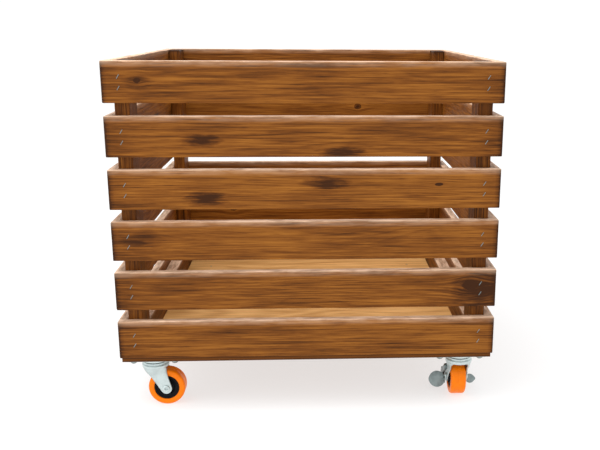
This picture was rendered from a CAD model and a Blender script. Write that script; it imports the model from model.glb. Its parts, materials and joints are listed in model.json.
"""A slatted wooden crate on swivel casters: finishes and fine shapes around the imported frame."""

import json
import math

import bmesh
import bpy
from bpy.props import FloatProperty, FloatVectorProperty, IntProperty, PointerProperty
from bpy.types import Operator, Panel, PropertyGroup
from mathutils import Matrix, Vector, noise


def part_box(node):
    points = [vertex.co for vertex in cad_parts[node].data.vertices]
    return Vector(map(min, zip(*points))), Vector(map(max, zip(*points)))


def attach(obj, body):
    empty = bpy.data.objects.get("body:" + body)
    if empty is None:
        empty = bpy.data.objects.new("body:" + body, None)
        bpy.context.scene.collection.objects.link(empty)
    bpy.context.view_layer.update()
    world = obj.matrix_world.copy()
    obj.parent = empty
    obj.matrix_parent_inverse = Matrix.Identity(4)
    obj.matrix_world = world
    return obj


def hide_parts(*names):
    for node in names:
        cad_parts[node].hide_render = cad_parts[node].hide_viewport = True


bl_info = {
    "name": "Rolling Crate",
    "version": (1, 0, 0),
    "blender": (4, 5, 0),
    "location": "View3D > Sidebar > Crate",
    "description": "Finishes and fine shapes for a slatted crate on casters",
    "category": "Object",
}

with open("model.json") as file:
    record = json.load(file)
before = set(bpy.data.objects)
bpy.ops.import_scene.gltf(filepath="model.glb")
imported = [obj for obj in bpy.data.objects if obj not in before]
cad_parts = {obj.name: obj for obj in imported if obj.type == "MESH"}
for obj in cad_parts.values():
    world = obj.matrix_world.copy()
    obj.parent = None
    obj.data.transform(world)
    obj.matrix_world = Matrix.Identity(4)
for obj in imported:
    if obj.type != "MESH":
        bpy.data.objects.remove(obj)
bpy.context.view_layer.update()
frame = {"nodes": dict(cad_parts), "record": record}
BEHAVIOUR = frame["record"]["behaviour"]
JOINTS = {joint["name"]: joint for joint in BEHAVIOUR["joints"]}
CORNERS = ("front_left", "front_right", "back_left", "back_right")
BRAKED = tuple(c for c in CORNERS if c + "_brake_press" in JOINTS)
MM = 0.001


# ---- Sizes and colours that a user may change ----

def colour_prop(name, text, rgb):
    return FloatVectorProperty(
        name=name, description=text, default=rgb, size=3, subtype="COLOR", min=0.0, max=1.0
    )


def length_prop(name, text, metres):
    return FloatProperty(
        name=name, description=text, default=metres, min=0.0, unit="LENGTH", precision=5
    )


class CrateWoodSettings(PropertyGroup):
    light: colour_prop("Stain, pale", "Where the stain is thin", (0.330, 0.122, 0.0165))
    middle: colour_prop("Stain, middle", "The usual colour of a slat", (0.178, 0.055, 0.0062))
    dark: colour_prop("Stain, dark", "Where the stain soaked in", (0.043, 0.0125, 0.0018))
    top_edge: colour_prop("Top edges", "Worn wood on the upward edges", (0.80, 0.55, 0.38))
    floor: colour_prop("Floor", "Thinly stained ply on the inside", (0.82, 0.46, 0.17))
    ease: length_prop("Eased edge", "Radius of a slat's sanded edge", 1.1 * MM)
    wander: length_prop("Waviness", "How far a sawn face wanders", 0.22 * MM)
    nick: length_prop("Nicks", "Depth of the dents along an edge", 0.7 * MM)
    step: length_prop("Step", "Spacing of the rings along a slat", 7.0 * MM)


class CrateCasterSettings(PropertyGroup):
    zinc: colour_prop("Zinc", "Bright plated forks and plates", (0.60, 0.685, 0.68))
    dull: colour_prop("Dull steel", "Brake levers and screw heads", (0.27, 0.32, 0.32))
    tyre: colour_prop("Tyre", "Orange tread", (0.97, 0.215, 0.001))
    hub: colour_prop("Hub", "Black moulded hub", (0.003, 0.0035, 0.005))
    sheet: length_prop("Sheet", "Thickness of the pressed steel", 2.1 * MM)
    segments: IntProperty(name="Segments", description="Around a turned part", default=96, min=24)


class CrateStudioSettings(PropertyGroup):
    camera_at: FloatVectorProperty(
        name="Camera", description="Where the camera stands", default=(0.00891, -1.30758, 0.51143),
        size=3, subtype="TRANSLATION"
    )
    yaw: FloatProperty(
        name="Yaw", description="Turn to the right", default=math.radians(3.135), subtype="ANGLE"
    )
    pitch: FloatProperty(
        name="Pitch", description="Tilt downwards", default=math.radians(14.659), subtype="ANGLE"
    )
    roll: FloatProperty(
        name="Roll", description="Turn about the view", default=math.radians(0.340), subtype="ANGLE"
    )
    lens: FloatProperty(name="Lens", description="Focal length on a 36 mm frame", default=50.59)
    shift_x: FloatProperty(name="Shift X", description="Picture offset, in widths", default=-0.0980)
    shift_y: FloatProperty(name="Shift Y", description="Picture offset, in widths", default=0.0313)
    sky: FloatProperty(name="Sky", description="Strength of the even light", default=1.04)
    key: FloatProperty(name="Key", description="Power of the light above, in watts", default=22.0)
    side: FloatProperty(name="Side", description="Power of the side light, in watts", default=9.0)
    glow: FloatProperty(name="Glow", description="Light that comes through the paper", default=0.66)
    paper: colour_prop("Paper", "Colour of the floor", (0.33, 0.33, 0.33))


# ---- Materials ----

class Wire:
    """One output of a shader node. Sums of wires add the Math nodes that they need."""

    def __init__(self, finish, socket):
        self.finish = finish
        self.socket = socket

    def math(self, operation, *others):
        return self.finish.add("ShaderNodeMath", {"operation": operation}, {
            i: value for i, value in enumerate((self,) + others)
        })

    def flipped(self, operation, other):
        return self.finish.add("ShaderNodeMath", {"operation": operation}, {0: other, 1: self})

    def __add__(self, other): return self.math("ADD", other)
    def __radd__(self, other): return self.flipped("ADD", other)
    def __sub__(self, other): return self.math("SUBTRACT", other)
    def __rsub__(self, other): return self.flipped("SUBTRACT", other)
    def __mul__(self, other): return self.math("MULTIPLY", other)
    def __rmul__(self, other): return self.flipped("MULTIPLY", other)
    def __truediv__(self, other): return self.math("DIVIDE", other)
    def __rtruediv__(self, other): return self.flipped("DIVIDE", other)
    def __pow__(self, other): return self.math("POWER", other)


class Finish:
    """A material with one Principled shader, built from named layers."""

    def __init__(self, name):
        self.material = bpy.data.materials.new(name)
        self.material.use_nodes = True
        self.nodes = self.material.node_tree.nodes
        self.links = self.material.node_tree.links
        self.shader = self.nodes["Principled BSDF"]

    def add(self, kind, settings=None, values=None, out=0):
        node = self.nodes.new(kind)
        for key, value in (settings or {}).items():
            if key == "stops":
                self.set_stops(node.color_ramp, value)
            else:
                setattr(node, key, value)
        for key, value in (values or {}).items():
            self.plug(node.inputs[key], value)
        return Wire(self, node.outputs[out])

    def set_stops(self, ramp, stops):
        while len(ramp.elements) < len(stops):
            ramp.elements.new(0.5)
        for element, (place, shade) in zip(ramp.elements, stops):
            element.position = place
            element.color = (shade, shade, shade, 1.0) if isinstance(shade, float) else (*shade, 1.0)

    def plug(self, socket, value):
        if isinstance(value, Wire):
            self.links.new(value.socket, socket)
        elif socket.type == "RGBA":
            socket.default_value = (*value[:3], 1.0)
        else:
            socket.default_value = value

    def attribute(self, name):
        return self.add("ShaderNodeAttribute", {"attribute_name": name}, out="Vector")

    def place(self):
        return self.add("ShaderNodeTexCoord", out="Object")

    def split(self, vector):
        node = self.add("ShaderNodeSeparateXYZ", values={0: vector}).socket.node
        return [Wire(self, socket) for socket in node.outputs]

    def join(self, x, y, z):
        return self.add("ShaderNodeCombineXYZ", values={0: x, 1: y, 2: z})

    def scaled(self, vector, factors):
        return self.add("ShaderNodeVectorMath", {"operation": "MULTIPLY"}, {0: vector, 1: factors})

    def moved(self, vector, other):
        return self.add("ShaderNodeVectorMath", {"operation": "ADD"}, {0: vector, 1: other})

    def noise(self, where, scale, detail=3.0, roughness=0.55, distortion=0.0):
        return self.add("ShaderNodeTexNoise", {}, {
            "Vector": where, "Scale": scale, "Detail": detail,
            "Roughness": roughness, "Distortion": distortion
        })

    def ramp(self, value, *stops):
        return self.add("ShaderNodeValToRGB", {"stops": stops}, {0: value})

    def mix(self, amount, first, second):
        return self.add("ShaderNodeMix", {"data_type": "RGBA"}, {0: amount, 6: first, 7: second}, out=2)

    def bump(self, height, distance, strength=1.0):
        normal = self.add("ShaderNodeBump", {}, {
            "Height": height, "Distance": distance, "Strength": strength
        })
        self.plug(self.shader.inputs["Normal"], normal)

    def set(self, **sockets):
        for name, value in sockets.items():
            self.plug(self.shader.inputs[name.replace("_", " ")], value)
        return self.material


# Knots: slat, place along it and up it from its middle in metres, length, height
KNOTS = (
    ("front_slat_5", 0.2155, 0.004, 0.0105, 0.0075),
    ("front_slat_1", -0.206, 0.002, 0.0042, 0.0034),
    ("front_slat_3", 0.170, 0.006, 0.0060, 0.0022),
    ("back_slat_2", 0.090, -0.008, 0.0070, 0.0055),
    ("left_slat_4", -0.060, 0.006, 0.0075, 0.0060),
    ("right_slat_3", 0.110, -0.005, 0.0065, 0.0055),
    ("back_slat_5", -0.140, 0.007, 0.0080, 0.0060),
)
# Dark patches: slat, place along it and up it, length, height, strength
PATCHES = (
    ("front_slat_2", -0.130, -0.004, 0.030, 0.010, 0.75),
    ("front_slat_2", 0.045, -0.019, 0.032, 0.007, 0.70),
    ("front_slat_3", -0.128, -0.012, 0.028, 0.012, 0.75),
    ("front_slat_3", 0.025, 0.008, 0.034, 0.010, 0.65),
    ("front_slat_5", 0.225, -0.002, 0.038, 0.030, 0.55),
    ("front_slat_4", -0.215, 0.004, 0.030, 0.020, 0.30),
    ("front_slat_1", -0.205, 0.000, 0.022, 0.010, 0.35),
    ("back_slat_3", 0.060, 0.004, 0.030, 0.011, 0.6),
    ("left_slat_2", 0.050, -0.006, 0.030, 0.010, 0.6),
    ("right_slat_5", -0.080, 0.006, 0.030, 0.012, 0.6),
)


def wood_grain(finish, grain, character):
    """Layers shared by every solid piece of wood. Returns tone, from pale 0 to dark 1, and relief."""
    v, w = finish.split(grain)[1:]
    pick_a, pick_b, pick_c = finish.split(character)
    strange = finish.moved(grain, finish.scaled(character, (9.0, 3.0, 5.0)))
    wobble = finish.noise(finish.scaled(strange, (2.2, 9.0, 9.0)), 1.0, 2.0) - 0.5
    ripple = finish.noise(finish.scaled(strange, (9.0, 40.0, 40.0)), 1.0, 2.0) - 0.5
    height = v - (pick_a - 0.5) * 0.11 + wobble * 0.034 + ripple * 0.005
    depth = w + 0.012 + pick_b * 0.05 + wobble * 0.022
    ring = (height * height + depth * depth) ** 0.5
    rings = finish.add("ShaderNodeMath", {"operation": "FRACT"}, {0: ring * 330.0 + pick_c * 3.0})
    late = finish.ramp(rings, (0.0, 0.10), (0.62, 0.22), (0.88, 0.95), (0.97, 0.75), (1.0, 0.10))
    fibre = finish.noise(finish.scaled(strange, (16.0, 620.0, 620.0)), 1.0, 3.0, 0.6)
    streak = finish.noise(finish.scaled(strange, (7.0, 210.0, 210.0)), 1.0, 4.0, 0.66)
    fleck = finish.noise(finish.scaled(strange, (70.0, 900.0, 900.0)), 1.0, 2.0, 0.5)
    flecks = finish.ramp(fleck, (0.60, 0.0), (0.74, 1.0))
    cloud = finish.noise(finish.scaled(strange, (8.0, 34.0, 34.0)), 1.0, 5.0, 0.62, 0.5)
    clouds = finish.ramp(cloud, (0.34, 0.0), (0.70, 1.0))
    tone = (late * 0.17 + (fibre - 0.5) * 1.5 + (streak - 0.5) * 1.15
            + flecks * 0.16 + clouds * 0.30 + 0.26 + (pick_b - 0.5) * 0.12)
    relief = late * 0.35 - fibre * 0.55 - flecks * 0.8
    return tone, relief, strange


def stained_wood(name, settings, shade=0.0, knots=(), patches=()):
    """Brown stained softwood. shade above 0 darkens the whole piece."""
    finish = Finish(name)
    grain = finish.attribute("grain")
    character = finish.attribute("character")
    from_end, topness, bleach = finish.split(finish.attribute("exposure"))
    u, v, w = finish.split(grain)
    flow = v
    knot_core = None
    for at, up, length, height in knots:
        du = (u - at) / (length * 2.6)
        dv = (v - up) / (height * 2.2)
        pull = finish.add("ShaderNodeMath", {"operation": "EXPONENT"}, {0: (du * du + dv * dv) * -1.0})
        flow = flow - (v - up) * pull * 0.85
        ragged = finish.noise(finish.scaled(grain, (260.0, 420.0, 420.0)), 1.0, 3.0) * 0.55
        eu = (u - at) / length
        ev = (v - up) / height
        radius = (eu * eu + ev * ev) ** 0.5 + ragged - 0.27
        core = finish.ramp(radius, (0.0, 1.0), (0.34, 0.95), (0.50, 0.45), (0.82, 0.75), (1.05, 0.0))
        knot_core = core if knot_core is None else knot_core.math("MAXIMUM", core)
    tone, relief, strange = wood_grain(finish, finish.join(u, flow, w), character)
    for at, up, length, height, strength in patches:
        edge = finish.noise(finish.scaled(strange, (28.0, 150.0, 150.0)), 1.0, 4.0, 0.65) - 0.5
        eu = (u - at) / length
        ev = (v - up) / height
        blot = finish.ramp((eu * eu + ev * ev) ** 0.5 + edge * 1.7, (0.25, 1.0), (1.15, 0.0))
        tone = tone + blot * strength
    soak = finish.ramp(from_end, (0.0, 1.0), (0.0022, 0.50), (0.006, 0.16), (0.030, 0.0))
    tone = tone + soak * 0.85 + shade
    if knot_core is not None:
        tone = tone + knot_core * 1.1
        relief = relief - knot_core * 1.5
    pale = finish.mix(finish.ramp(tone, (0.0, 0.0), (0.52, 1.0)), settings.light, settings.middle)
    stained = finish.mix(finish.ramp(tone, (0.48, 0.0), (1.25, 1.0)), pale, settings.dark)
    scuff = finish.noise(finish.scaled(strange, (30.0, 170.0, 170.0)), 1.0, 4.0, 0.65)
    worn = finish.ramp(scuff, (0.36, 0.35), (0.60, 1.0)) * topness
    faded = finish.ramp(scuff, (0.30, 0.55), (0.64, 1.0)) * bleach
    colour = finish.mix(worn, stained, settings.top_edge)
    colour = finish.mix(faded, colour, settings.floor)
    finish.bump(relief, 0.00022, 0.75)
    rough = finish.noise(finish.scaled(strange, (40.0, 240.0, 240.0)), 1.0, 2.0) * 0.22 + 0.40
    return finish.set(Base_Color=colour, Roughness=rough, Specular_IOR_Level=0.12)


def ply_wood(settings, top_z, thickness):
    """The base panel: thin ply, pale on top and dark at its edge."""
    finish = Finish("base_ply")
    place = finish.place()
    z = finish.split(place)[2]
    nz = finish.split(finish.add("ShaderNodeNewGeometry", out="True Normal"))[2]
    figure = finish.noise(finish.scaled(place, (5.0, 62.0, 40.0)), 1.0, 5.0, 0.6, 0.5)
    fibre = finish.noise(finish.scaled(place, (16.0, 560.0, 300.0)), 1.0, 3.0)
    flame = finish.noise(finish.scaled(place, (2.0, 11.0, 5.0)), 1.0, 2.0, 0.5, 0.6)
    bands = finish.add("ShaderNodeMath", {"operation": "SINE"}, {0: flame * 62.0 + figure * 3.0})
    tone = figure * 0.8 + (fibre - 0.5) * 0.9 + bands * 0.10
    face = finish.mix(finish.ramp(tone, (0.25, 0.0), (0.85, 1.0)), settings.floor, settings.light)
    layer = (z - (top_z - thickness)) / thickness
    core = finish.ramp(layer, (0.0, 0.9), (0.30, 0.9), (0.36, 0.15), (0.64, 0.15), (0.70, 0.9), (1.0, 0.9))
    edge = finish.mix(core * 0.5 + (fibre - 0.3) * 0.9, settings.middle, settings.dark)
    flat = nz.math("ABSOLUTE").math("GREATER_THAN", 0.7)
    under = finish.mix(finish.ramp(tone, (0.2, 0.0), (0.8, 1.0)), settings.light, settings.middle)
    faces = finish.mix(nz.math("GREATER_THAN", 0.0), under, face)
    finish.bump(fibre + bands * 0.2, 0.00012, 0.5)
    return finish.set(Base_Color=finish.mix(flat, edge, faces), Roughness=fibre * 0.25 + 0.42,
                      Specular_IOR_Level=0.12)


def plated_steel(name, colour, roughness, grime, relief):
    """Zinc on pressed steel, with faint spangle, handling marks and darker hollows."""
    finish = Finish(name)
    place = finish.place()
    spangle = finish.add("ShaderNodeTexVoronoi", {}, {"Vector": place, "Scale": 420.0}, out="Color")
    spark = finish.split(spangle)[0]
    cloud = finish.noise(place, 95.0, 5.0, 0.6)
    fine = finish.noise(place, 900.0, 3.0, 0.6)
    marks = finish.noise(finish.scaled(place, (700.0, 120.0, 900.0)), 1.0, 3.0, 0.5)
    dirt = finish.ramp(cloud, (0.40, 0.0), (0.72, 1.0))
    shaded = tuple(channel * 0.42 for channel in colour)
    base = finish.mix(dirt * grime + (spark - 0.5) * 0.10, colour, shaded)
    finish.bump(fine * 0.4 + marks * 0.25 + cloud * 0.8, relief, 0.6)
    rough = cloud * 0.22 + (spark - 0.5) * 0.06 + roughness
    return finish.set(Base_Color=base, Roughness=rough, Metallic=0.88)


def tyre_rubber(settings):
    """Cast orange polyurethane, a little dusty on the tread."""
    finish = Finish("orange_tyre")
    place = finish.place()
    mottle = finish.noise(place, 130.0, 4.0, 0.6)
    fine = finish.noise(place, 1600.0, 3.0, 0.6)
    scratches = finish.ramp(finish.noise(finish.scaled(place, (900.0, 90.0, 300.0)), 1.0, 4.0, 0.7),
                            (0.60, 0.0), (0.75, 1.0))
    deep = tuple(channel * factor for channel, factor in zip(settings.tyre, (0.82, 0.72, 0.8)))
    colour = finish.mix(finish.ramp(mottle, (0.35, 0.0), (0.75, 1.0)) * 0.5, settings.tyre, deep)
    colour = finish.mix(scratches * 0.18, colour, (0.75, 0.42, 0.20))
    finish.bump(fine * 0.5 + mottle * 0.5 - scratches * 0.4, 0.00008, 0.5)
    rough = mottle * 0.16 + scratches * 0.12 + 0.24
    return finish.set(Base_Color=colour, Roughness=rough, Specular_IOR_Level=0.14, Coat_Weight=0.03)


def hub_plastic(settings):
    """Black moulded plastic with turning marks and a faint bloom."""
    finish = Finish("black_hub")
    place = finish.place()
    bloom = finish.noise(place, 210.0, 4.0, 0.6)
    grainy = finish.noise(place, 2200.0, 2.0, 0.5)
    dusty = tuple(channel + 0.010 for channel in settings.hub)
    amount = finish.ramp(bloom, (0.42, 0.0), (0.75, 0.6))
    finish.bump(grainy * 0.5 + bloom * 0.5, 0.00006, 0.5)
    return finish.set(Base_Color=finish.mix(amount, settings.hub, dusty), Roughness=bloom * 0.25 + 0.30,
                      Specular_IOR_Level=0.12)


def paper(settings):
    """The plain pale floor."""
    finish = Finish("studio_paper")
    cloud = finish.noise(finish.place(), 3.0, 2.0)
    low = tuple(channel * 0.995 for channel in settings.paper)
    return finish.set(Base_Color=finish.mix(cloud, settings.paper, low), Roughness=cloud * 0.1 + 0.85,
                      Emission_Color=(1.0, 1.0, 1.0), Emission_Strength=settings.glow)


# ---- Meshes ----

def new_piece(name, vertices, faces, material, body, replaced=(), smooth=True):
    """A mesh object that rides on a body and stands for the CAD nodes in replaced."""
    mesh = bpy.data.meshes.new(name)
    mesh.from_pydata([tuple(v) for v in vertices], [], faces)
    mesh.validate()
    mesh.polygons.foreach_set("use_smooth", [smooth] * len(mesh.polygons))
    mesh.materials.append(material)
    piece = bpy.data.objects.new(name, mesh)
    bpy.context.scene.collection.objects.link(piece)
    tidy = bmesh.new()
    tidy.from_mesh(mesh)
    bmesh.ops.recalc_face_normals(tidy, faces=tidy.faces)
    tidy.to_mesh(mesh)
    tidy.free()
    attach(piece, body)
    if replaced:
        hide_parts(*replaced)
    return piece


def bevel(piece, width, segments=3, angle=math.radians(35)):
    """Rounds the sharp edges of a piece with a modifier."""
    modifier = piece.modifiers.new("eased_edges", "BEVEL")
    modifier.width = width
    modifier.segments = segments
    modifier.limit_method = "ANGLE"
    modifier.angle_limit = angle
    modifier.harden_normals = False


def finish_node(name, material, bevel_width=0.0):
    """Gives a carried-over CAD node its material and eased edges."""
    node = frame["nodes"][name]
    node.data.materials.clear()
    node.data.materials.append(material)
    if bevel_width:
        bevel(node, bevel_width, 2)
    return node


class Shape:
    """Vertices and faces gathered from several simple shapes."""

    def __init__(self):
        self.vertices = []
        self.faces = []

    def point(self, *xyz):
        self.vertices.append(Vector(xyz))
        return len(self.vertices) - 1

    def bridge(self, one, two, closed=True):
        count = len(one)
        for i in range(count if closed else count - 1):
            j = (i + 1) % count
            self.faces.append((one[i], one[j], two[j], two[i]))

    def fan(self, ring, middle, backwards=False):
        for i, start in enumerate(ring):
            stop = ring[(i + 1) % len(ring)]
            self.faces.append((stop, start, middle) if backwards else (start, stop, middle))

    def lathe(self, profile, segments, place=None):
        """Turns (radius, height) points about Z. A radius of 0 closes the end."""
        place = place or Matrix.Identity(4)
        rows = []
        for radius, height in profile:
            if radius < 1e-7:
                rows.append([self.point(*(place @ Vector((0.0, 0.0, height))))])
                continue
            row = []
            for i in range(segments):
                angle = math.tau * i / segments
                spot = Vector((radius * math.cos(angle), radius * math.sin(angle), height))
                row.append(self.point(*(place @ spot)))
            rows.append(row)
        for one, two in zip(rows, rows[1:]):
            if len(one) == 1:
                self.fan(two, one[0], True)
            elif len(two) == 1:
                self.fan(one, two[0])
            else:
                self.bridge(one, two)
        return rows

    def ring_profile(self, profile, segments, place=None):
        """A lathe whose profile is a closed loop."""
        rows = self.lathe(profile, segments, place)
        self.bridge(rows[-1], rows[0])


def arc(centre, radius, start, stop, steps):
    """Points on an arc, angles in degrees."""
    points = []
    for i in range(steps + 1):
        angle = math.radians(start + (stop - start) * i / steps)
        points.append((centre[0] + radius * math.cos(angle), centre[1] + radius * math.sin(angle)))
    return points


def smooth_step(low, high, x):
    t = min(1.0, max(0.0, (x - low) / (high - low)))
    return t * t * (3.0 - 2.0 * t)


def spread(low, high, count):
    return [low + (high - low) * i / (count - 1) for i in range(count)]


# ---- Wood ----

def plank_outline(wide, deep, ease):
    """The section of a plank with rounded corners: points and outward directions."""
    points = []
    for sign_v, sign_w, start in ((1, 1, 0), (-1, 1, 90), (-1, -1, 180), (1, -1, 270)):
        centre = (sign_v * (wide / 2 - ease), sign_w * (deep / 2 - ease))
        points.append([(p, 1.0) for p in arc(centre, ease, start, start + 90, 3)])
    outline = []
    for i, corner in enumerate(points):
        outline += corner
        begin = corner[-1][0]
        end = points[(i + 1) % 4][0][0]
        length = math.dist(begin, end)
        count = max(2, round(length / (7.0 * MM)))
        for k in [0.09] + list(range(1, count)) + [count - 0.09]:
            t = k / count
            outline.append(((begin[0] + (end[0] - begin[0]) * t, begin[1] + (end[1] - begin[1]) * t), 0.0))
    return outline


def plank(name, along, settings, material, body, index, bleached=None):
    """One sawn piece of wood in the place of CAD node name, with its grain along that axis."""
    low, high = (Vector(corner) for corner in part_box(name))
    size = high - low
    across = sorted((i for i in range(3) if i != along), key=lambda i: -size[i])
    wide_axis, deep_axis = across
    ease = settings.ease
    outline = plank_outline(size[wide_axis], size[deep_axis], ease)
    middle = (low + high) / 2
    length = size[along]
    rings = max(8, round(length / settings.step))
    stations = [(0.0, 1.0), (ease * 0.3, 0.3), (ease, 0.0)]
    stations += [(ease + (length - 2 * ease) * i / rings, 0.0) for i in range(1, rings)]
    stations += [(length - ease, 0.0), (length - ease * 0.3, 0.3), (length, 1.0)]
    shape = Shape()
    grain, exposure, rows = [], [], []
    seed = Vector((index * 3.7, index * 1.3, index * 7.1))

    def add(u, v, w, nv, nw, from_end, corner):
        spot = Vector((u * 9.0, v * 30.0, w * 30.0)) + seed
        dip = settings.wander * (0.5 + 0.5 * noise.noise(spot))
        if corner:
            dent = noise.noise(Vector((u * 55.0, v * 20.0, w * 20.0)) + seed)
            dip += settings.nick * smooth_step(0.30, 0.62, dent)
        place = [0.0, 0.0, 0.0]
        place[along] = middle[along] - length / 2 + u
        place[wide_axis] = middle[wide_axis] + v - nv * dip
        place[deep_axis] = middle[deep_axis] + w - nw * dip
        grain.append((u - length / 2, v, w))
        normal_z = (nv if wide_axis == 2 else 0.0) + (nw if deep_axis == 2 else 0.0)
        exposure.append((from_end, max(0.0, normal_z) ** 1.5, bleached(normal_z) if bleached else 0.0))
        return shape.point(*place)

    for u, inset in stations:
        row = []
        for (v, w), corner in outline:
            tv = (v / (size[wide_axis] / 2)) ** 9
            tw = (w / (size[deep_axis] / 2)) ** 9
            norm = math.hypot(tv, tw) or 1.0
            shrink_v = 1.0 - inset * ease / (size[wide_axis] / 2)
            shrink_w = 1.0 - inset * ease / (size[deep_axis] / 2)
            from_end = min(u, length - u)
            row.append(add(u, v * shrink_v, w * shrink_w, tv / norm, tw / norm, from_end, corner))
        rows.append(row)
    for one, two in zip(rows, rows[1:]):
        shape.bridge(one, two)
    for row, u in ((rows[0], 0.0), (rows[-1], length)):
        shape.fan(row, add(u, 0.0, 0.0, 0.0, 0.0, 0.0, 0.0))
    piece = new_piece(name + "_sawn", shape.vertices, shape.faces, material, body, (name,))
    mesh = piece.data
    values = {
        "grain": grain,
        "exposure": exposure,
        "character": [plank_character(index)] * len(grain),
    }
    for attribute, rows in values.items():
        layer = mesh.attributes.new(attribute, "FLOAT_VECTOR", "POINT")
        layer.data.foreach_set("vector", [number for row in rows for number in row])
    return piece


def plank_character(index):
    """Three numbers from 0 to 1 that set a plank's rings, shade and figure."""
    return tuple((index * step) % 1.0 for step in (0.6180, 0.3819, 0.7549))


def marks_for(name):
    """The knots and dark patches on one plank, without its name."""
    knots = tuple(row[1:] for row in KNOTS if row[0] == name)
    patches = tuple(row[1:] for row in PATCHES if row[0] == name)
    return knots, patches


class CRATE_OT_slats(Operator):
    """Saw the 24 slats, with eased edges, nicks, grain and knots"""

    bl_idname = "crate.slats"
    bl_label = "Slats"

    def execute(self, context):
        settings = context.scene.crate_wood
        plain = stained_wood("slat_wood", settings)
        index = 1
        for wall, along in (("front", 0), ("back", 0), ("left", 1), ("right", 1)):
            for row in range(1, 7):
                name = f"{wall}_slat_{row}"
                knots, patches = marks_for(name)
                material = plain
                if knots or patches:
                    material = stained_wood(name + "_wood", settings, 0.0, knots, patches)
                plank(name, along, settings, material, "crate", index)
                index += 1
        return {"FINISHED"}


class CRATE_OT_posts(Operator):
    """Saw the corner posts and the cleats on the base"""

    bl_idname = "crate.posts"
    bl_label = "Posts and cleats"

    def execute(self, context):
        settings = context.scene.crate_wood
        material = stained_wood("post_wood", settings, 0.16)
        names = [corner + "_post" for corner in CORNERS]
        for index, name in enumerate(names, 40):
            plank(name, 2, settings, material, "crate", index)
        for index, name in enumerate(("left_cleat", "right_cleat"), 50):
            plank(name, 1, settings, material, "crate", index)
        return {"FINISHED"}


class CRATE_OT_base(Operator):
    """Finish the base panel as ply, and the staples that hold the slats"""

    bl_idname = "crate.base"
    bl_label = "Base and staples"

    def execute(self, context):
        wood = context.scene.crate_wood
        casters = context.scene.crate_casters
        low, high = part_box("base_panel")
        finish_node("base_panel", ply_wood(wood, high[2], high[2] - low[2]), 0.4 * MM)
        wire = plated_steel("staple_wire", tuple(casters.dull), 0.30, 0.5, 0.00004)
        finish_node("staples", wire, 0.12 * MM)
        return {"FINISHED"}


# ---- Casters ----

class Caster:
    """Where one caster stands: its swivel axis, its wheel and its direction of trail."""

    def __init__(self, corner):
        self.corner = corner
        axis = Vector(JOINTS[corner + "_turn"]["pos_m"])
        wheel = Vector(JOINTS[corner + "_roll"]["pos_m"])
        reach = wheel - axis
        self.trail = math.hypot(reach.x, reach.y)
        self.wheel_r = wheel.z
        forward = Vector((reach.x, reach.y, 0.0)).normalized()
        sideways = Vector((-forward.y, forward.x, 0.0))
        self.matrix = Matrix((
            (forward.x, sideways.x, 0.0, axis.x),
            (forward.y, sideways.y, 0.0, axis.y),
            (0.0, 0.0, 1.0, 0.0),
            (0.0, 0.0, 0.0, 1.0),
        ))
        self.swivel = corner + "_swivel"
        self.wheel = corner + "_wheel"

    def on_axle(self):
        """Z becomes the axle's direction, with the origin in the middle of the wheel."""
        centre = Matrix.Translation(Vector((self.trail, 0.0, self.wheel_r)))
        return self.matrix @ centre @ Matrix.Rotation(math.radians(-90), 4, "X")

    def width(self, node):
        """A node's size along the axle."""
        low, high = (Vector(corner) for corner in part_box(node))
        across = self.matrix.col[1].to_3d()
        return abs((high - low).dot(across))


def mirrored(half):
    """A closed lathe loop from its half above the middle plane."""
    return list(half) + [(r, -h) for r, h in reversed(half)]


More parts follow.
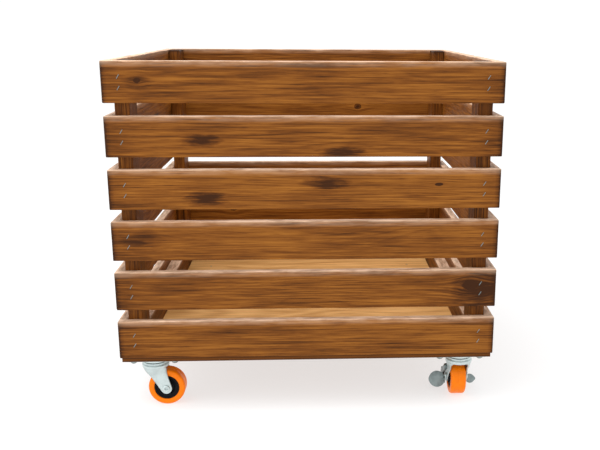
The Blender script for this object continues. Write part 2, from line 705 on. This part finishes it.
class CRATE_OT_wheels(Operator):
    """Turn the orange tyres, the black hubs and the axles"""

    bl_idname = "crate.wheels"
    bl_label = "Wheels"

    def execute(self, context):
        settings = context.scene.crate_casters
        rubber = tyre_rubber(settings)
        plastic = hub_plastic(settings)
        steel = plated_steel("axle_zinc", tuple(settings.zinc), 0.22, 0.35, 0.00003)
        for corner in CORNERS:
            caster = Caster(corner)
            self.tyre(caster, rubber, settings.segments)
            self.hub(caster, plastic, settings.segments)
            self.axle(caster, steel, settings.segments)
        return {"FINISHED"}

    def tyre(self, caster, material, segments):
        node = caster.corner + "_tyre"
        half = caster.width(node) / 2
        outer = caster.wheel_r
        inner = self.hub_radius(caster)
        edge = 3.4 * MM
        profile = [(inner, half - 0.9 * MM), (inner + 0.25 * MM, half - 0.35 * MM), (inner + 0.9 * MM, half)]
        profile += [(outer - edge - 0.5 * MM, half)]
        profile += arc((outer - edge, half - edge), edge, 86, 4, 9)
        profile += [(outer, half - edge * 1.25), (outer, half * 0.45), (outer, half * 0.04)]
        profile += [(outer - 0.06 * MM, 0.25 * MM)]
        shape = Shape()
        shape.ring_profile(mirrored(profile), segments, caster.on_axle())
        new_piece(node + "_cast", shape.vertices, shape.faces, material, caster.wheel, (node,))

    def hub_radius(self, caster):
        """The tyre's bore, read from its mesh as the least distance from the axle."""
        centre = caster.matrix @ Vector((caster.trail, 0.0, caster.wheel_r))
        across = caster.matrix.col[1].to_3d()
        mesh = frame["nodes"][caster.corner + "_tyre"].data
        reaches = [(v.co - centre) - across * (v.co - centre).dot(across) for v in mesh.vertices]
        return min(reach.length for reach in reaches)

    def hub(self, caster, material, segments):
        node = caster.corner + "_hub"
        boss = caster.width(node) / 2
        face = caster.width(caster.corner + "_tyre") / 2 - 1.1 * MM
        outer = self.hub_radius(caster) - 0.02 * MM
        bore = 3.1 * MM
        round_r = 0.5 * MM
        half = [(bore, boss - 0.4 * MM), (bore + 0.4 * MM, boss), (bore + 2.3 * MM, boss)]
        half += arc((bore + 2.3 * MM, boss - round_r), round_r, 85, 5, 3)
        half += [(bore + 3.1 * MM, face - 3.4 * MM), (bore + 3.7 * MM, face - 3.9 * MM)]
        half += [(outer * 0.56, face - 3.9 * MM), (outer * 0.60, face - 3.6 * MM)]
        half += [(outer * 0.63, face - 1.6 * MM), (outer * 0.655, face - 1.25 * MM)]
        half += [(outer - 3.1 * MM, face - 1.25 * MM), (outer - 2.8 * MM, face - 1.1 * MM)]
        half += [(outer - 2.5 * MM, face - 0.25 * MM), (outer - 2.2 * MM, face)]
        half += [(outer - 0.5 * MM, face), (outer - 0.1 * MM, face - 0.2 * MM), (outer, face - 0.6 * MM)]
        half += [(outer, face * 0.4)]
        shape = Shape()
        shape.ring_profile(mirrored(half), segments, caster.on_axle())
        new_piece(node + "_moulded", shape.vertices, shape.faces, material, caster.wheel, (node,))

    def axle(self, caster, material, segments):
        node = caster.corner + "_axle"
        end = caster.width(node) / 2
        radius = 3.0 * MM
        head = end - 2.0 * MM
        half = [(0.0, end - 2.6 * MM), (1.7 * MM, end - 2.5 * MM), (1.9 * MM, end - 0.7 * MM)]
        half += arc((2.9 * MM, end - 0.8 * MM), 0.8 * MM, 150, 75, 4)
        half += arc((3.9 * MM, end - 1.1 * MM), 0.95 * MM, 75, -20, 5)
        half += [(4.75 * MM, head + 0.02 * MM), (radius, head + 0.02 * MM), (radius, head * 0.3)]
        profile = half + [(r, -h) for r, h in reversed(half)]
        shape = Shape()
        shape.lathe(profile, segments // 2, caster.on_axle())
        new_piece(node + "_rivet", shape.vertices, shape.faces, material, caster.swivel,
                  (node,))


class CRATE_OT_forks(Operator):
    """Press the forks: a round crown that flares into two tapered legs"""

    bl_idname = "crate.forks"
    bl_label = "Forks"

    def execute(self, context):
        settings = context.scene.crate_casters
        steel = plated_steel("fork_zinc", tuple(settings.zinc), 0.27, 0.28, 0.00005)
        for corner in CORNERS:
            caster = Caster(corner)
            node = corner + "_fork"
            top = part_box(node)[1][2]
            shape = Shape()
            self.crown(shape, caster, top)
            for side in (-1, 1):
                self.leg(shape, caster, side, top, caster.width(corner + "_axle") / 2, settings.sheet)
            new_piece(node + "_pressed", shape.vertices, shape.faces, steel, caster.swivel,
                      (node,))
        return {"FINISHED"}

    def crown(self, shape, caster, top):
        """The turned cap under the plate, with its race and rolled rim."""
        rim = 18.3 * MM
        race = 16.5 * MM
        profile = [(4.4 * MM, top - 1.0 * MM), (4.8 * MM, top - 0.6 * MM), (9.4 * MM, top - 0.6 * MM)]
        profile += arc((12.0 * MM, top + 0.9 * MM), 2.3 * MM, 215, 325, 8)
        profile += [(race - 1.4 * MM, top)]
        profile += arc((race - 0.8 * MM, top - 0.8 * MM), 0.8 * MM, 85, 0, 4)
        profile += [(race, top - 1.9 * MM), (race + 0.35 * MM, top - 2.5 * MM)]
        profile += [(rim - 1.2 * MM, top - 2.9 * MM)]
        profile += arc((rim - 1.4 * MM, top - 4.4 * MM), 1.4 * MM, 80, 0, 5)
        profile += [(rim, top - 7.2 * MM), (rim - 0.3 * MM, top - 7.7 * MM), (rim - 1.7 * MM, top - 7.7 * MM)]
        profile += [(rim - 2.0 * MM, top - 7.2 * MM), (rim - 2.0 * MM, top - 6.2 * MM)]
        profile += [(rim - 3.2 * MM, top - 5.2 * MM), (4.8 * MM, top - 5.2 * MM), (4.4 * MM, top - 4.8 * MM)]
        shape.ring_profile(profile, 96, caster.matrix)

    def leg(self, shape, caster, side, top, axle_end, sheet):
        """A tapered leg whose upper part wraps round under the crown."""
        outer_y = axle_end - 2.05 * MM
        crown_r = 18.2 * MM
        end_r = 7.5 * MM
        foot = Vector((caster.trail, caster.wheel_r))
        shoulder = top - 5.0 * MM
        columns = 15
        rows = []
        left_top = Vector((-17.2 * MM, shoulder))
        right_top = Vector((14.6 * MM, shoulder))
        left_low = foot + end_r * Vector((math.cos(math.radians(212)), math.sin(math.radians(212))))
        right_low = foot + end_r * Vector((math.cos(math.radians(8)), math.sin(math.radians(8))))
        stations = []
        for t in spread(0.0, 1.0, 17):
            bow_left = math.sin(math.pi * t) * 1.2 * MM
            bow_right = math.sin(math.pi * t) * -0.6 * MM
            left = left_top.lerp(left_low, t) + Vector((bow_left, 0.0))
            right = right_top.lerp(right_low, t) + Vector((bow_right, 0.0))
            stations.append((left, right))
        for t in spread(0.12, 1.0, 8):
            turn_left = math.radians(212 + (267 - 212) * t)
            turn_right = math.radians(8 + (-87 - 8) * t)
            stations.append((
                foot + end_r * Vector((math.cos(turn_left), math.sin(turn_left))),
                foot + end_r * Vector((math.cos(turn_right), math.sin(turn_right))),
            ))

        def surface(x, z):
            round_part = smooth_step(top - 20.0 * MM, top - 6.0 * MM, z)
            reach = min(abs(x), crown_r * 0.985)
            rounded = math.sqrt(crown_r ** 2 - reach ** 2)
            fold = 3.0 * MM
            turned = max(0.0, fold - x)
            flat = outer_y - turned * 0.20
            crease = 0.35 * MM * math.exp(-((x - fold) / (1.3 * MM)) ** 2)
            return flat * (1 - round_part) + rounded * round_part - crease * (1 - round_part)

        for depth in (0.0, sheet):
            skin = []
            for left, right in stations:
                row = []
                for u in spread(0.0, 1.0, columns):
                    spot = left.lerp(right, u)
                    y = side * (surface(spot.x, spot.y) - depth)
                    row.append(shape.point(*(caster.matrix @ Vector((spot.x, y, spot.y)))))
                skin.append(row)
            rows.append(skin)
        outer, inner = rows
        for skin in rows:
            for one, two in zip(skin, skin[1:]):
                shape.bridge(one, two, closed=False)
        rim_outer = [row[0] for row in outer] + outer[-1][1:] + [row[-1] for row in outer[-2::-1]]
        rim_outer += outer[0][-2:0:-1]
        rim_inner = [row[0] for row in inner] + inner[-1][1:] + [row[-1] for row in inner[-2::-1]]
        rim_inner += inner[0][-2:0:-1]
        shape.bridge(rim_outer, rim_inner)


class CRATE_OT_fixings(Operator):
    """Finish the top plates, kingpins and balls, and turn the dome-headed screws"""

    bl_idname = "crate.fixings"
    bl_label = "Plates and screws"

    def execute(self, context):
        settings = context.scene.crate_casters
        zinc = plated_steel("plate_zinc", tuple(settings.zinc), 0.24, 0.35, 0.00005)
        for corner in CORNERS:
            finish_node(corner + "_top_plate", zinc, 0.35 * MM)
        finish_node("kingpins", zinc, 0.25 * MM)
        finish_node("swivel_balls", plated_steel("ball_steel", (0.62, 0.63, 0.64), 0.10, 0.1, 0.00001))
        heads = plated_steel("screw_zinc", tuple(settings.dull), 0.26, 0.45, 0.00004)
        for name in ("long_caster_screws", "short_caster_screws"):
            self.screws(name, heads)
        return {"FINISHED"}

    def screws(self, name, material):
        shape = Shape()
        for low, high in islands(frame["nodes"][name].data):
            self.screw(shape, low, high)
        new_piece(name + "_domed", shape.vertices, shape.faces, material, "crate", (name,))

    def screw(self, shape, low, high):
        """A dome head that faces down, with a cross recess, on a plain shank."""
        radius = (high.x - low.x) / 2
        centre = Vector(((low.x + high.x) / 2, (low.y + high.y) / 2, low.z))
        rise = 4.5 * MM
        shank = 2.0 * MM
        ball = (radius ** 2 + rise ** 2) / (2 * rise)
        turn = Matrix.Rotation(centre.x * 40 + centre.y * 90, 3, "Z")
        rows = []
        rings = spread(0.06, 1.0, 16)
        segments = 48
        for share in rings:
            r = radius * share
            z = ball - math.sqrt(ball ** 2 - r ** 2)
            row = []
            for i in range(segments):
                angle = math.tau * i / segments
                spot = Vector((r * math.cos(angle), r * math.sin(angle), 0.0))
                arm = min(abs(spot.x), abs(spot.y))
                along = max(abs(spot.x), abs(spot.y))
                cross = 1 - smooth_step(0.30 * MM, 0.75 * MM, arm)
                cross *= 1 - smooth_step(1.5 * MM, 2.6 * MM, along)
                place = centre + turn @ spot + Vector((0.0, 0.0, z + 1.5 * MM * cross))
                row.append(shape.point(*place))
            rows.append(row)
        tip = shape.point(*(centre + Vector((0.0, 0.0, 1.5 * MM))))
        shape.fan(rows[0], tip, True)
        top = high.z - low.z
        for r, z in ((radius - 0.05 * MM, rise), (shank, rise), (shank, top - 0.6 * MM), (shank * 0.7, top)):
            row = []
            for i in range(segments):
                angle = math.tau * i / segments
                spot = turn @ Vector((r * math.cos(angle), r * math.sin(angle), z))
                row.append(shape.point(*(centre + spot)))
            rows.append(row)
        for one, two in zip(rows, rows[1:]):
            shape.bridge(one, two)
        end = shape.point(*(centre + Vector((0.0, 0.0, top))))
        shape.fan(rows[-1], end)


def islands(mesh):
    """The lowest and highest corner of each separate solid in a mesh."""
    parent = list(range(len(mesh.vertices)))

    def root(i):
        while parent[i] != i:
            parent[i] = parent[parent[i]]
            i = parent[i]
        return i

    seen = {}
    for vertex in mesh.vertices:
        key = tuple(round(c, 6) for c in vertex.co)
        parent[vertex.index] = root(seen.setdefault(key, vertex.index))
    for edge in mesh.edges:
        one, two = (root(i) for i in edge.vertices)
        parent[one] = two
    groups = {}
    for vertex in mesh.vertices:
        groups.setdefault(root(vertex.index), []).append(vertex.co)
    boxes = []
    for places in groups.values():
        low = Vector([min(p[i] for p in places) for i in range(3)])
        high = Vector([max(p[i] for p in places) for i in range(3)])
        boxes.append((low, high))
    return sorted(boxes, key=lambda pair: tuple(round(c, 4) for c in pair[0]))


class CRATE_OT_brakes(Operator):
    """Finish the brake levers and their pins"""

    bl_idname = "crate.brakes"
    bl_label = "Brakes"

    def execute(self, context):
        settings = context.scene.crate_casters
        steel = plated_steel("brake_zinc", tuple(settings.dull), 0.30, 0.65, 0.00007)
        for corner in BRAKED:
            finish_node(corner + "_brake_lever", steel, 0.45 * MM)
            finish_node(corner + "_brake_pins", steel, 0.2 * MM)
        return {"FINISHED"}


# ---- Studio ----

class CRATE_OT_stage(Operator):
    """Lay the paper, hang the lights and set up the camera"""

    bl_idname = "crate.stage"
    bl_label = "Stage"

    def execute(self, context):
        settings = context.scene.crate_studio
        self.floor(settings)
        self.lights(context.scene, settings)
        self.camera(context.scene, settings)
        return {"FINISHED"}

    def floor(self, settings):
        """A wide round floor, level with the wheels' lowest points."""
        ring_radii = (0.0, 0.6, 2.5, 40.0)
        shape = Shape()
        shape.lathe([(radius, 0.0) for radius in ring_radii], 64)
        mesh = bpy.data.meshes.new("paper_floor")
        mesh.from_pydata([tuple(v) for v in shape.vertices], [], shape.faces)
        mesh.materials.append(paper(settings))
        floor = bpy.data.objects.new("paper_floor", mesh)
        bpy.context.scene.collection.objects.link(floor)

    def lights(self, scene, settings):
        world = bpy.data.worlds.new("studio")
        world.use_nodes = True
        sky = world.node_tree.nodes["Background"]
        sky.inputs["Color"].default_value = (1.0, 1.0, 1.0, 1.0)
        sky.inputs["Strength"].default_value = settings.sky
        scene.world = world
        self.softbox("key_light", (-0.35, -0.35, 1.75), (0.0, 0.0, 0.15), 1.5, settings.key)
        self.softbox("side_light", (-1.7, -1.0, 1.2), (0.0, 0.0, 0.2), 1.2, settings.side)
        scene.view_settings.view_transform = "Standard"

    def softbox(self, name, place, target, size, power):
        lamp = bpy.data.lights.new(name, "AREA")
        lamp.shape = "SQUARE"
        lamp.size = size
        lamp.energy = power
        light = bpy.data.objects.new(name, lamp)
        light.location = place
        aim = Vector(target) - Vector(place)
        light.rotation_euler = aim.to_track_quat("-Z", "Y").to_euler()
        bpy.context.scene.collection.objects.link(light)

    def camera(self, scene, settings):
        yaw, pitch, roll = settings.yaw, settings.pitch, settings.roll
        ahead = Vector((math.sin(yaw) * math.cos(pitch), math.cos(yaw) * math.cos(pitch), -math.sin(pitch)))
        right = Vector((math.cos(yaw), -math.sin(yaw), 0.0))
        down = ahead.cross(right)
        level_right = math.cos(roll) * right - math.sin(roll) * down
        level_down = math.sin(roll) * right + math.cos(roll) * down
        lens = bpy.data.cameras.new("camera")
        lens.sensor_width = 36.0
        lens.lens = settings.lens
        lens.shift_x = settings.shift_x
        lens.shift_y = settings.shift_y
        lens.clip_end = 50.0
        camera = bpy.data.objects.new("camera", lens)
        turn = Matrix((level_right, -level_down, -ahead)).transposed().to_4x4()
        camera.matrix_world = Matrix.Translation(Vector(settings.camera_at)) @ turn
        scene.collection.objects.link(camera)
        scene.camera = camera


class CRATE_PT_panel(Panel):
    bl_label = "Rolling crate"
    bl_idname = "CRATE_PT_panel"
    bl_space_type = "VIEW_3D"
    bl_region_type = "UI"
    bl_category = "Crate"

    def draw(self, context):
        scene = context.scene
        for group in (scene.crate_wood, scene.crate_casters, scene.crate_studio):
            box = self.layout.box()
            for name in group.__annotations__:
                box.prop(group, name)
        for operator in OPERATORS:
            self.layout.operator(operator.bl_idname)


GROUPS = {
    "crate_wood": CrateWoodSettings,
    "crate_casters": CrateCasterSettings,
    "crate_studio": CrateStudioSettings,
}
OPERATORS = (
    CRATE_OT_stage,
    CRATE_OT_slats,
    CRATE_OT_posts,
    CRATE_OT_base,
    CRATE_OT_wheels,
    CRATE_OT_forks,
    CRATE_OT_fixings,
    CRATE_OT_brakes,
)


def register():
    for group in GROUPS.values():
        bpy.utils.register_class(group)
    for name, group in GROUPS.items():
        setattr(bpy.types.Scene, name, PointerProperty(type=group))
    for cls in OPERATORS + (CRATE_PT_panel,):
        bpy.utils.register_class(cls)


def unregister():
    for cls in reversed(OPERATORS + (CRATE_PT_panel,)):
        bpy.utils.unregister_class(cls)
    for name, group in GROUPS.items():
        delattr(bpy.types.Scene, name)
        bpy.utils.unregister_class(group)


def main():
    register()
    for operator in OPERATORS:
        family, action = operator.bl_idname.split(".")
        getattr(getattr(bpy.ops, family), action)()


if __name__ == "__main__":
    main()
